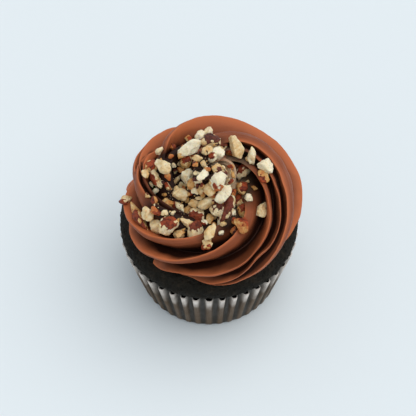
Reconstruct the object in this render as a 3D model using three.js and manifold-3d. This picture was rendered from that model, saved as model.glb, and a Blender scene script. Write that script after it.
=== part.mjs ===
// A chocolate cupcake: a pleated paper baking cup, the dark cake that it was baked in, and a swirl of piped
// chocolate frosting with chopped nuts on it. Millimetres, +Z up, origin at the middle of the flat foot.
import * as THREE from 'three'
import { mergeVertices } from 'three/addons/utils/BufferGeometryUtils.js'
import { ConvexGeometry } from 'three/addons/geometries/ConvexGeometry.js'
import Module from 'manifold-3d'

// Paper cup
const FOOT_RADIUS = 27.6
const HEEL_RADIUS = 28.4
const HEEL_HEIGHT = 1.1
const RIM_RADIUS = 34.4
const RIM_HEIGHT = 30.5
const PLEATS = 44
const PLEAT_DEPTH_FOOT = 0.3
const PLEAT_DEPTH_RIM = 2.3
const RIDGE_EDGE = 0.18
const VALLEY_EDGE = 0.34
const PAPER = 0.4
const PAPER_ALONG_RADIUS = 0.55

// Cake
const GAP = 0.3
const CAKE_WALL_TOP = 30.9
const CROWN_UNDERCUT = 0.2
const CROWN_RADIUS = 34.0
const CROWN_WIDEST_HEIGHT = 33.6
const CROWN_SHOULDER_RADIUS = 29.0
const CROWN_SHOULDER_HEIGHT = 38.2
const CROWN_FULLNESS = 3
const CROWN_FLAT_RADIUS = 14.5
const CROWN_TOP = 40.2
const CROWN_STEPS = 3
const CAKE_SIDES = 48

// Swirl: values against the turns travelled along the piped rope, clockwise from its start
const SWIRL_FIRST_TURN = 0.36
const SWIRL_LAST_TURN = 2.5
const SWIRL_START_DEG = -50
const PATH_RADIUS = [
  [0.36, 21.6], [0.5, 21.5], [0.85, 22.3], [1, 22], [1.1, 22], [1.3, 21.6], [1.4, 20], [1.5, 15], [1.6, 9.8],
  [1.75, 5.4], [1.95, 3.4], [2.2, 2.4], [2.5, 1]
]
const PATH_HEIGHT = [
  [0.36, 47], [0.6, 50.5], [0.85, 50.3], [0.95, 48], [1.05, 45], [1.15, 44.5], [1.3, 46.3], [1.4, 49],
  [1.5, 52], [1.6, 54.5], [1.8, 58], [2, 61], [2.25, 64.5], [2.5, 67.5]
]
const ROPE_RADIUS = [
  [0.36, 11], [0.42, 12], [0.6, 12.2], [1, 12], [1.4, 11.8], [1.5, 10], [1.6, 8.2], [1.75, 6.8], [2, 6],
  [2.25, 5.4], [2.5, 4.4]
]
const TWIST_DEG = [
  [0.36, 85], [0.42, 112], [0.55, 160], [0.7, 208], [0.86, 235], [1, 298], [1.15, 360], [1.28, 418],
  [1.42, 472], [1.55, 520], [1.8, 610], [2.2, 740], [2.5, 860]
]
const DRIFT_X = [[0.36, 1.2], [1.4, 1], [1.8, 1.4], [2.5, 2]]
const DRIFT_Y = [[0.36, 0], [1.4, 0.3], [1.8, 2], [2.5, 4]]

// Rope section: a crest at each angle, with a hollow flute between neighbours
const CREST_DEG = [0, 42, 97, 120, 137, 231, 286, 298]
const FLUTE_DEPTH = 0.55
const FLUTE_FULL_WIDTH_DEG = 50
const FLUTE_ROUNDNESS = 0.9
const FLUTE_SKEW = 2
const FLUTE_STEPS = [0, 0.3, 0.66, 0.9]
const STEPS_PER_TURN = 40
const ROPE_PIECES = 3

// Kinks in single crests: which crest, the turn and its share of a turn, and how far it swings in degrees
const KINKS = [[2, 1.16, 0.07, -16], [3, 1.03, 0.03, -12]]

// A dent low on the front: its turn and share of a turn, its direction and spread in the section, its depth
const DENT_TURN = 1.16
const DENT_TURNS = 0.04
const DENT_DEG = 120
const DENT_SPREAD_DEG = 40
const DENT_DEPTH = 0.22
const AXIS_NEAR = 2

// Mound of frosting inside the swirl: the radius and height of each ring, and the turn whose drift it has
const MOUND_RINGS = [
  [27, 34.2, 0.36], [27, 39.2, 0.36], [22, 43, 1.1], [15, 46.5, 1.4], [11, 51, 1.6], [7.5, 57, 1.8],
  [4.5, 62, 2.1], [2, 66, 2.4]
]
const MOUND_SIDES = 20

// Chopped nuts that stand out: x, y, length, width, and the length's turn from the X axis in degrees
const LEADING_NUTS = [
  [-7.8, 13, 8.4, 5, 20], [-3.7, 20, 5.4, 4, 0], [-0.6, 12.6, 7, 4.4, -10], [3, 12.4, 7, 4.4, -25],
  [2.6, 4.7, 7.4, 5.4, 30], [-2.5, 8.4, 5.4, 4, 0], [-9.2, 7.2, 5.6, 4.6, 60], [9.7, 15.2, 7.4, 4.4, -60],
  [16.4, 12.4, 6.4, 3.2, 70], [20.5, 8.2, 7, 4.8, -60], [12.8, 4.7, 7, 4.4, 70],
  [12.6, -3.5, 5.4, 4.4, 80], [12.7, -9.6, 5.6, 4.8, 0], [12.7, -15, 6.4, 4.6, -40],
  [19, -8.5, 6.4, 4.6, 70], [-24, 7.6, 5.6, 4.6, 40], [-17.2, 7.8, 6.4, 5.4, 0], [-19, 3, 7, 3.6, -60],
  [-12.3, 1.3, 8.4, 2.4, 40], [-8, -1.6, 6.2, 5.6, 20], [-2.8, -3.4, 6, 4.4, 90], [2, -4.4, 6.4, 6, 0],
  [-5.4, -6, 6, 4, -20], [4, -7.4, 7.4, 6, 45], [-12.4, -2.5, 7.4, 5, -10], [-16.3, -5.2, 5.6, 4.8, 20],
  [-10.8, -8, 6.4, 4.2, 80], [-1, -9.6, 6.4, 4.4, 40], [6.3, -11.2, 11, 5.2, 65], [-5.2, -11, 7, 6, 0],
  [-19.4, -13.6, 7.2, 5.4, 0], [-14.4, -15.2, 7.6, 6, 0], [-5.4, -17.2, 6.8, 6, 80],
  [0.2, -18.2, 6.6, 4.6, 80], [-22.8, -9, 5, 4.6, 60], [-26.5, -10.6, 10, 4.2, -62],
  [-30.4, 1.2, 5.2, 3.8, 60]
]
const NUT_HEIGHT_SHARE = 0.82
const NUT_SUNK_SHARE = 0.12
const NUT_CORNERS = 13
const NUT_SWELL = [0.9, 1.3]
const NUT_STEEPEST = 0.8
const FILL_NUTS = 80
const FILL_MIDDLE = [-2.5, -2]
const FILL_RADIUS = [21, 20]
const FILL_SPACING = 4
const FILL_SIZE = [3.8, 5.4]
const FILL_WIDTH_SHARE = 0.78
const NUT_SEED = 41

// Slivers along joins: shortest edge and lowest triangle that are kept
const SLIVER = 0.05
const SLIVER_HEIGHT = 0.004
const SLIVER_ROUNDS = 12

const radians = THREE.MathUtils.degToRad

// A smooth curve through key values that never swings past them
function through (keys, at) {
  const last = keys.length - 1
  const slopes = []
  for (let i = 0; i < last; i++) slopes.push((keys[i + 1][1] - keys[i][1]) / (keys[i + 1][0] - keys[i][0]))
  const tangent = (i) => {
    if (i === 0) return slopes[0]
    if (i === last) return slopes[last - 1]
    const product = slopes[i - 1] * slopes[i]
    return product <= 0 ? 0 : 2 * product / (slopes[i - 1] + slopes[i])
  }
  const x = THREE.MathUtils.clamp(at, keys[0][0], keys[last][0])
  let i = 0
  while (i < last - 1 && x > keys[i + 1][0]) i++
  const span = keys[i + 1][0] - keys[i][0]
  const t = (x - keys[i][0]) / span
  const t2 = t * t
  const t3 = t2 * t
  return (2 * t3 - 3 * t2 + 1) * keys[i][1] + (t3 - 2 * t2 + t) * span * tangent(i) +
    (3 * t2 - 2 * t3) * keys[i + 1][1] + (t3 - t2) * span * tangent(i + 1)
}

// A repeatable random sequence
function makeRandom (seed) {
  let state = seed
  return () => {
    state = (state * 1664525 + 1013904223) % 4294967296
    return state / 4294967296
  }
}

// A closed mesh from rings of points, with each end closed by a fan. Each quad between two rings is halved
// along its first diagonal, or along the shorter one, which keeps the two faces of a thin wall apart.
function skin (rings, alongShorter = false) {
  const count = rings[0].length
  const points = rings.flat()
  const faces = []
  for (let ring = 0; ring < rings.length - 1; ring++) {
    for (let i = 0; i < count; i++) {
      const a = ring * count + i
      const b = ring * count + (i + 1) % count
      const first = points[a].distanceTo(points[b + count])
      const second = points[b].distanceTo(points[a + count])
      if (alongShorter && second < first) faces.push(a, b, a + count, b, b + count, a + count)
      else faces.push(a, b, b + count, a, b + count, a + count)
    }
  }
  for (const [ring, flip] of [[0, true], [rings.length - 1, false]]) {
    const middle = new THREE.Vector3()
    for (const point of rings[ring]) middle.addScaledVector(point, 1 / count)
    const hub = points.push(middle) - 1
    for (let i = 0; i < count; i++) {
      const a = ring * count + i
      const b = ring * count + (i + 1) % count
      if (flip) faces.push(hub, b, a)
      else faces.push(hub, a, b)
    }
  }
  const geometry = new THREE.BufferGeometry().setFromPoints(points)
  geometry.setIndex(faces)
  return geometry
}

const library = await Module()
library.setup()

function toSolid (geometry) {
  const bare = geometry.clone()
  bare.deleteAttribute('normal')
  bare.deleteAttribute('uv')
  const merged = mergeVertices(bare, 1e-4)
  const mesh = new library.Mesh({
    numProp: 3,
    vertProperties: new Float32Array(merged.attributes.position.array),
    triVerts: new Uint32Array(merged.index.array)
  })
  mesh.merge()
  const solid = new library.Manifold(mesh)
  if (solid.volume() > 0) return solid
  const flipped = new Uint32Array(merged.index.array)
  for (let i = 0; i < flipped.length; i += 3) [flipped[i], flipped[i + 1]] = [flipped[i + 1], flipped[i]]
  return new library.Manifold(new library.Mesh({
    numProp: 3,
    vertProperties: new Float32Array(merged.attributes.position.array),
    triVerts: flipped
  }))
}

// The largest body of a solid, without loose scraps and without the skin of any sealed hollow
function mainBody (solid) {
  return solid.decompose().reduce((best, body) => body.volume() > best.volume() ? body : best)
}

// Paper cup: a ring of points at one height, with the pleats' depth there
function pleatRing (radius, depth, height) {
  const ring = []
  const corners = [[RIDGE_EDGE, 0], [VALLEY_EDGE, 1], [1 - VALLEY_EDGE, 1], [1 - RIDGE_EDGE, 0]]
  for (let pleat = 0; pleat < PLEATS; pleat++) {
    for (const [part, inward] of corners) {
      const angle = 2 * Math.PI * (pleat + part) / PLEATS
      const r = radius - inward * depth
      ring.push(new THREE.Vector3(r * Math.cos(angle), r * Math.sin(angle), height))
    }
  }
  return ring
}

function wallRadius (height) {
  return THREE.MathUtils.mapLinear(height, HEEL_HEIGHT, RIM_HEIGHT, HEEL_RADIUS, RIM_RADIUS)
}

function pleatDepth (height) {
  return THREE.MathUtils.mapLinear(height, HEEL_HEIGHT, RIM_HEIGHT, PLEAT_DEPTH_FOOT, PLEAT_DEPTH_RIM)
}

function makePaperCup () {
  const inside = HEEL_HEIGHT + PAPER
  return skin([
    pleatRing(FOOT_RADIUS, PLEAT_DEPTH_FOOT, 0),
    pleatRing(HEEL_RADIUS, PLEAT_DEPTH_FOOT, HEEL_HEIGHT),
    pleatRing(RIM_RADIUS, PLEAT_DEPTH_RIM, RIM_HEIGHT),
    pleatRing(RIM_RADIUS - PAPER_ALONG_RADIUS, PLEAT_DEPTH_RIM, RIM_HEIGHT),
    pleatRing(wallRadius(inside) - PAPER_ALONG_RADIUS, pleatDepth(inside), inside),
    pleatRing(FOOT_RADIUS - PAPER_ALONG_RADIUS, PLEAT_DEPTH_FOOT, PAPER)
  ], true)
}

// Cake: its wall stands inside the pleats, its crown bulges over the rim
function cakeProfile (grow) {
  const wallFoot = HEEL_HEIGHT + PAPER + GAP
  const innerRadius = (height) => wallRadius(height) - pleatDepth(height) - PAPER_ALONG_RADIUS - GAP
  const outline = new THREE.Path()
  outline.moveTo(0, PAPER + GAP - grow)
  outline.lineTo(FOOT_RADIUS - PLEAT_DEPTH_FOOT - PAPER_ALONG_RADIUS - GAP, PAPER + GAP - grow)
  outline.lineTo(innerRadius(wallFoot), wallFoot)
  outline.lineTo(innerRadius(RIM_HEIGHT) + grow, CAKE_WALL_TOP)
  outline.quadraticCurveTo(
    CROWN_RADIUS + grow, CAKE_WALL_TOP + CROWN_UNDERCUT, CROWN_RADIUS + grow, CROWN_WIDEST_HEIGHT)
  outline.quadraticCurveTo(
    CROWN_RADIUS + grow, CROWN_WIDEST_HEIGHT + CROWN_FULLNESS + grow,
    CROWN_SHOULDER_RADIUS, CROWN_SHOULDER_HEIGHT + grow)
  outline.quadraticCurveTo(
    CROWN_FLAT_RADIUS, CROWN_TOP + grow, 0, CROWN_TOP + grow)
  return outline.getPoints(CROWN_STEPS)
}

function makeCake (grow = 0) {
  const lathe = new THREE.LatheGeometry(cakeProfile(grow), CAKE_SIDES)
  lathe.rotateX(Math.PI / 2)
  return lathe
}

// A bell curve with the value 1 in its middle
function bell (away, spread) {
  return Math.exp(-((away / spread) ** 2))
}

function crestAngle (crest, turn) {
  const index = crest % CREST_DEG.length
  const round = 360 * Math.floor(crest / CREST_DEG.length)
  const swing = KINKS.filter((kink) => kink[0] === index)
    .reduce((sum, [, at, spread, degrees]) => sum + degrees * bell(turn - at, spread), 0)
  return CREST_DEG[index] + swing + round
}

// What the dent leaves of the rope's radius, 1 away from it
function dentShare (turn, degrees) {
  const away = THREE.MathUtils.euclideanModulo(degrees - DENT_DEG + 180, 360) - 180
  return 1 - DENT_DEPTH * bell(turn - DENT_TURN, DENT_TURNS) * bell(away, DENT_SPREAD_DEG)
}

// Swirl: the flutes and crests of the rope's section at one place along it
function ropeSection (turn) {
  const thick = through(ROPE_RADIUS, turn)
  const twist = through(TWIST_DEG, turn)
  const section = []
  for (let crest = 0; crest < CREST_DEG.length; crest++) {
    const from = crestAngle(crest, turn)
    const to = crestAngle(crest + 1, turn)
    const depth = FLUTE_DEPTH * Math.min(1, (to - from) / FLUTE_FULL_WIDTH_DEG)
    for (const part of FLUTE_STEPS) {
      const flute = 1 - depth * Math.sin(Math.PI * part ** FLUTE_SKEW) ** FLUTE_ROUNDNESS
      const degrees = from + (to - from) * part + twist
      const reach = thick * flute * dentShare(turn, degrees)
      section.push(new THREE.Vector2(reach * Math.sin(radians(degrees)), reach * Math.cos(radians(degrees))))
    }
  }
  return section
}

// Distance from the swirl's axis: what would pass through the axis is squeezed short of it
function reachOf (distance) {
  return distance > AXIS_NEAR ? distance : AXIS_NEAR ** 2 / (2 * AXIS_NEAR - distance)
}

function ropeRing (turn) {
  const azimuth = radians(SWIRL_START_DEG) - 2 * Math.PI * turn
  const radius = through(PATH_RADIUS, turn)
  const height = through(PATH_HEIGHT, turn)
  const middleX = through(DRIFT_X, turn)
  const middleY = through(DRIFT_Y, turn)
  return ropeSection(turn).map(({ x, y }) => {
    const reach = reachOf(radius + x)
    const across = middleX + reach * Math.cos(azimuth)
    return new THREE.Vector3(across, middleY + reach * Math.sin(azimuth), height + y)
  })
}

function ropePieces () {
  const turns = SWIRL_LAST_TURN - SWIRL_FIRST_TURN
  const steps = Math.round(STEPS_PER_TURN * turns / ROPE_PIECES)
  const pieces = []
  for (let piece = 0; piece < ROPE_PIECES; piece++) {
    const rings = []
    for (let step = 0; step <= steps; step++) {
      rings.push(ropeRing(SWIRL_FIRST_TURN + turns * (piece + step / steps) / ROPE_PIECES))
    }
    pieces.push(skin(rings))
  }
  return pieces
}

function moundRing (radius, height, turn) {
  const ring = []
  for (let i = 0; i < MOUND_SIDES; i++) {
    const angle = 2 * Math.PI * (i + 0.5) / MOUND_SIDES
    const x = through(DRIFT_X, turn) + radius * Math.cos(angle)
    ring.push(new THREE.Vector3(x, through(DRIFT_Y, turn) + radius * Math.sin(angle), height))
  }
  return ring
}

function makeMound () {
  return skin(MOUND_RINGS.map(([radius, height, turn]) => moundRing(radius, height, turn)))
}

// Height of the mound, which falls steadily from its middle outwards
function moundHeight (x, y) {
  const upper = MOUND_RINGS.slice(2).map(([radius, height, turn]) => {
    return [radius - Math.hypot(x - through(DRIFT_X, turn), y - through(DRIFT_Y, turn)), height]
  })
  const first = upper.findIndex(([past]) => past < 0)
  if (first < 0) return upper.at(-1)[1]
  if (first === 0) return CROWN_TOP
  const [inner, outer] = [upper[first], upper[first - 1]]
  return THREE.MathUtils.mapLinear(0, inner[0], outer[0], inner[1], outer[1])
}

// Height of the bare swirl above a point, from the sections of each pass of the rope over it
function swirlHeight (x, y) {
  let best = moundHeight(x, y)
  for (let pass = 0; pass < SWIRL_LAST_TURN; pass++) {
    let turn = pass + 0.5
    let reach = 0
    for (let round = 0; round < 3; round++) {
      const across = x - through(DRIFT_X, turn)
      const along = y - through(DRIFT_Y, turn)
      const travelled = (SWIRL_START_DEG - THREE.MathUtils.radToDeg(Math.atan2(along, across))) / 360
      turn = THREE.MathUtils.euclideanModulo(travelled, 1) + pass
      reach = Math.hypot(across, along)
    }
    if (turn < SWIRL_FIRST_TURN || turn > SWIRL_LAST_TURN) continue
    const section = ropeSection(turn)
    const radius = through(PATH_RADIUS, turn)
    section.forEach((here, i) => {
      const next = section[(i + 1) % section.length]
      const from = reachOf(radius + here.x)
      const to = reachOf(radius + next.x)
      const share = (reach - from) / (to - from)
      if (share < 0 || share > 1) return
      best = Math.max(best, through(PATH_HEIGHT, turn) + here.y + share * (next.y - here.y))
    })
  }
  return best
}

// The pieces that stand out, then smaller ones on a sunflower spiral wherever there is room between them
function nutPlaces (random) {
  const places = LEADING_NUTS.map((row) => [...row])
  for (let i = 0; i < FILL_NUTS; i++) {
    const share = Math.sqrt((i + 0.5) / FILL_NUTS)
    const angle = i * Math.PI * (3 - Math.sqrt(5))
    const x = FILL_MIDDLE[0] + FILL_RADIUS[0] * share * Math.cos(angle)
    const y = FILL_MIDDLE[1] + FILL_RADIUS[1] * share * Math.sin(angle)
    const size = THREE.MathUtils.lerp(...FILL_SIZE, random())
    const turn = 180 * random()
    if (places.some((other) => Math.hypot(other[0] - x, other[1] - y) < FILL_SPACING)) continue
    places.push([x, y, size, size * FILL_WIDTH_SHARE, turn])
  }
  return places
}

// A chopped piece: the hull of a few corners spread over an uneven lump, tilted to lie on the frosting
function makeNut ([x, y, length, width, turn], random) {
  const thick = width * NUT_HEIGHT_SHARE
  const corners = []
  for (let i = 0; i < NUT_CORNERS; i++) {
    const up = 1 - 2 * (i + 0.5) / NUT_CORNERS
    const out = Math.sqrt(1 - up * up)
    const angle = i * Math.PI * (3 - Math.sqrt(5))
    const swell = THREE.MathUtils.lerp(...NUT_SWELL, random())
    const lump = new THREE.Vector3(length * out * Math.cos(angle), width * out * Math.sin(angle), thick * up)
    corners.push(lump.multiplyScalar(swell / 2))
  }
  const nut = new ConvexGeometry(corners)
  const probe = width / 2
  const slopeX = (swirlHeight(x + probe, y) - swirlHeight(x - probe, y)) / (2 * probe)
  const slopeY = (swirlHeight(x, y + probe) - swirlHeight(x, y - probe)) / (2 * probe)
  const held = (slope) => THREE.MathUtils.clamp(slope, -NUT_STEEPEST, NUT_STEEPEST)
  const facing = new THREE.Vector3(-held(slopeX), -held(slopeY), 1)
  nut.rotateZ(radians(turn))
  const upright = new THREE.Vector3(0, 0, 1)
  nut.applyQuaternion(new THREE.Quaternion().setFromUnitVectors(upright, facing.normalize()))
  const lift = thick * (0.5 - NUT_SUNK_SHARE)
  nut.translate(x + facing.x * lift, y + facing.y * lift, swirlHeight(x, y) + facing.z * lift)
  return nut
}

// Removes the slivers that joins leave along their seams: a short edge is drawn together into one point, and
// the long edge of a flat sliver is swapped for the one across it
function withoutSlivers (solid) {
  const mesh = solid.getMesh()
  const points = []
  for (let i = 0; i < mesh.vertProperties.length; i += 3) {
    points.push(new THREE.Vector3().fromArray(mesh.vertProperties, i))
  }
  let faces = []
  for (let i = 0; i < mesh.triVerts.length; i += 3) faces.push(Array.from(mesh.triVerts.slice(i, i + 3)))
  for (let round = 0; round < SLIVER_ROUNDS; round++) {
    const around = points.map(() => new Set())
    faces.forEach((face, index) => face.forEach((corner) => around[corner].add(index)))
    const touched = new Set()
    const dropped = new Set()
    const neighbours = (corner) => new Set([...around[corner]].flatMap((index) => faces[index]))
    for (let index = 0; index < faces.length; index++) {
      if (faces[index].some((corner) => touched.has(corner))) continue
      const face = faces[index]
      const sides = face.map((corner, i) => points[corner].distanceTo(points[face[(i + 1) % 3]]))
      const shortest = sides.indexOf(Math.min(...sides))
      const longest = sides.indexOf(Math.max(...sides))
      const triangle = new THREE.Triangle(...face.map((corner) => points[corner]))
      const thin = 2 * triangle.getArea() / sides[longest] < SLIVER_HEIGHT
      if (sides[shortest] < SLIVER) {
        const [keep, lose] = [face[shortest], face[(shortest + 1) % 3]]
        const mine = neighbours(keep)
        const shared = [...neighbours(lose)].filter((corner) => mine.has(corner))
        if (shared.length !== 4) continue
        for (const other of [...around[lose]]) {
          faces[other].forEach((corner) => touched.add(corner))
          if (faces[other].includes(keep)) dropped.add(other)
          else faces[other] = faces[other].map((corner) => corner === lose ? keep : corner)
        }
        mine.forEach((corner) => touched.add(corner))
      } else if (thin) {
        const [from, to, tip] = [face[longest], face[(longest + 1) % 3], face[(longest + 2) % 3]]
        const across = [...around[to]].find((other) => other !== index && faces[other].includes(from))
        const far = faces[across].find((corner) => corner !== from && corner !== to)
        if (neighbours(tip).has(far) || touched.has(far)) continue
        faces[index] = [from, far, tip]
        faces[across] = [far, to, tip]
        for (const corner of [from, to, tip, far]) touched.add(corner)
      }
    }
    if (touched.size === 0) break
    faces = faces.filter((face, index) => !dropped.has(index))
  }
  const geometry = new THREE.BufferGeometry().setFromPoints(points)
  geometry.setIndex(faces.flat())
  geometry.computeVertexNormals()
  return geometry
}

function makeFrosting () {
  const random = makeRandom(NUT_SEED)
  const nuts = nutPlaces(random).map((place) => makeNut(place, random))
  const joined = [...ropePieces(), makeMound(), ...nuts].map(toSolid).reduce((sum, solid) => sum.add(solid))
  const seated = joined.subtract(toSolid(makeCake(GAP)))
  return withoutSlivers(mainBody(seated))
}

function named (name, geometry, colour, roughness) {
  const finish = new THREE.MeshStandardMaterial({ color: colour, roughness, metalness: 0 })
  const mesh = new THREE.Mesh(geometry, finish)
  mesh.name = name
  return mesh
}

const cupcake = new THREE.Group()
cupcake.add(named('paper_case', makePaperCup(), 0x8a7b70, 0.55))
cupcake.add(named('cake', makeCake(), 0x241a14, 0.85))
cupcake.add(named('frosting', makeFrosting(), 0x7d4a33, 0.45))

export default cupcake
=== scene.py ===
import math
import random

import bmesh
import bpy
import numpy as np
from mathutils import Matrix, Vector, noise
from mathutils.bvhtree import BVHTree


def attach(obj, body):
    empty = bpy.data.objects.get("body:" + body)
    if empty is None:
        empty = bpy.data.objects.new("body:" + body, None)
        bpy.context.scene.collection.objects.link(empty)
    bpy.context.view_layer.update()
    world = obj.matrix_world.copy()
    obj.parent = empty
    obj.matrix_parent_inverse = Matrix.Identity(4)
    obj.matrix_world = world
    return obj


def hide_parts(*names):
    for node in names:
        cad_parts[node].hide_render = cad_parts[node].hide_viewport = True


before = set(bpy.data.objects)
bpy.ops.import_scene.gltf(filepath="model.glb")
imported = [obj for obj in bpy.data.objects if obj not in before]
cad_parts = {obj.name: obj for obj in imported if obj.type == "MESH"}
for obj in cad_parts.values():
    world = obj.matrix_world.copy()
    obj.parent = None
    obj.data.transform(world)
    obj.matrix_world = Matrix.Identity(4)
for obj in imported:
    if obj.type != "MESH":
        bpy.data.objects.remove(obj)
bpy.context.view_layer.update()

MM = 0.001

# How far each seed shifts the noise that makes a surface uneven
NOISE_STEP = (17.3, 5.1, 9.7)

# Camera: pixels are those of the 416 pixel photograph
PHOTO_SIDE = 416
FOCAL_PIXELS = 1125.6
SENSOR = 36
ELEVATION_DEG = 57
AIM = Vector((-0.4, 0, 41.6))
CAMERA_DISTANCE = 425

# Paper case
FOOT_RADIUS = 27.6
HEEL_RADIUS = 28.4
HEEL_HEIGHT = 1.1
RIM_RADIUS = 34.4
RIM_HEIGHT = 30.5
PLEATS = 44
PLEAT_DEPTH_FOOT = 0.3
PLEAT_DEPTH_RIM = 2.3
PLEAT_DEPTH_LIMIT = 1.15
PLEAT_SQUARENESS = 2.2
PAPER = 0.4
PAPER_ALONG_RADIUS = 0.55
PLEAT_STEPS = 16
WALL_STEPS = 26
FOOT_STEPS = 4
FOOT_CENTRE_SHARE = 0.05
FOOT_PLEAT_POWER = 4

# How uneven the pleats are round the case: for each wave its size, how often it repeats, and its phase
PLEAT_WANDER = [(0.24, 7, 1), (0.2, 11, 2.2)]
PLEAT_DEPTH_WAVES = [(0.16, 5, 0.4), (0.12, 13, 0)]

# Cake
GAP = 0.3
CAKE_WALL_TOP = 30.9
CROWN_RADIUS = 34.0
CROWN_UNDERCUT = 0.2
CROWN_WIDEST_HEIGHT = 33.6
CROWN_FULLNESS = 3
CROWN_SHOULDER_RADIUS = 29.0
CROWN_SHOULDER_HEIGHT = 38.2
CROWN_FLAT_RADIUS = 14.5
CROWN_TOP = 40.2
CAKE_SIDES = 560
CAKE_CENTRE_RADIUS = 0.4
CROWN_STEPS = 26
CROWN_FLAT_STEPS = 8

# The cake's rough crumb: how far it stands out, the height that it stands away from, and the size and
# share of each kind of lump
RELIEF = 0.42
RELIEF_CENTRE_HEIGHT = 28.9
RELIEF_LUMPS = [(4.5, 0.8), (1.5, 1), (0.6, 0.7)]

# Swirl: values against the turns travelled along the piped rope, clockwise from its start
SWIRL_FIRST_TURN = 0.36
SWIRL_LAST_TURN = 2.5
SWIRL_START_DEG = -50
PATH_RADIUS = [(0.36, 21.6), (0.5, 21.5), (0.85, 22.3), (1, 22), (1.1, 22), (1.3, 21.6), (1.4, 20), (1.5, 15),
               (1.6, 9.8), (1.75, 5.4), (1.95, 3.4), (2.2, 2.4), (2.5, 1)]
PATH_HEIGHT = [(0.36, 47), (0.6, 50.5), (0.85, 50.3), (0.95, 48), (1.05, 45), (1.15, 44.5), (1.3, 46.3),
               (1.4, 49), (1.5, 52), (1.6, 54.5), (1.8, 58), (2, 61), (2.25, 64.5), (2.5, 67.5)]
ROPE_RADIUS = [(0.36, 11), (0.42, 12), (0.6, 12.2), (1, 12), (1.4, 11.8), (1.5, 10), (1.6, 8.2), (1.75, 6.8),
               (2, 6), (2.25, 5.4), (2.5, 4.4)]
TWIST_DEG = [(0.36, 85), (0.42, 112), (0.55, 160), (0.7, 208), (0.86, 235), (1, 298), (1.15, 360),
             (1.28, 418), (1.42, 472), (1.55, 520), (1.8, 610), (2.2, 740), (2.5, 860)]
DRIFT_X = [(0.36, 1.2), (1.4, 1), (1.8, 0.4), (2.5, 0.6)]
DRIFT_Y = [(0.36, 0), (1.4, 0.3), (1.8, 2), (2.5, 4)]

# The rope's section: where its crests are, and how deep, round and skewed the flutes between them are.
# A lip's painted highlight is as wide as this share of its flute.
CREST_DEG = [0, 42, 97, 120, 137, 231, 286, 298]
FLUTE_DEPTH = 0.66
FLUTE_FULL_WIDTH_DEG = 42
FLUTE_ROUNDNESS = 0.9
FLUTE_SKEW = 2.4
FLUTE_STEPS = 18
LIP_WIDTH = 0.09

# How finely the rope is made, how its ends close, and how near it comes to the swirl's axis
ROPE_STEPS = 620
ROPE_END_TURNS = 0.03
ROPE_END_CLOSING = 0.98
AXIS_NEAR = 2

# The direction that the cream was drawn in, for its streaks: millimetres that one turn counts for
FLOW_PITCH = 5

# Kinks in single crests: which crest, at which turn, over how much of a turn, and its swing in degrees
KINKS = [(2, 1.16, 0.07, -16), (3, 1.03, 0.03, -12)]

# A dent low on the front: at which turn, over how much of a turn, its direction and spread in the rope's
# section, and its depth as a share of the rope's radius
DENT_TURN = 1.16
DENT_TURNS = 0.04
DENT_DEG = 120
DENT_SPREAD_DEG = 40
DENT_DEPTH = 0.22

# Mound inside the swirl: the radius and height of each ring, and the turn whose drift it has
MOUND_RINGS = [(27, 34.2, 0.36), (27, 39.2, 0.36), (22, 43, 1.1), (15, 46.5, 1.4), (11, 51, 1.6),
               (7.5, 57, 1.8), (4.5, 62, 2.1), (2, 66, 2.4)]
MOUND_STEPS = 4
MOUND_SIDES = 64

# Unevenness of the frosting in each direction: size, amount and seeds of its sway and of its ripple
SWAY_SIZE = 6
SWAY_AMOUNT = 0.3
SWAY_SEEDS = (4, 5, 6)
RIPPLE_SIZE = 1.6
RIPPLE_AMOUNT = 0.07
RIPPLE_SEED_SHIFT = 3

# Shelter: short rays feel how closed in the frosting is, for the painted shade that darkens its hollows
SHELTER_RAYS = 14
SHELTER_REACH = 11
SHELTER_EVERY = 4
SHELTER_SPREAD = 0.97
SHELTER_LIFT = 0.12
SHELTER_SEED = 5

# Nut meal that dusts the peak's right side
MEAL_MIDDLE = (8, 2, 58)
MEAL_REACH = (4.5, 8, 9)
MEAL_STRENGTH = 1.3

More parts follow.
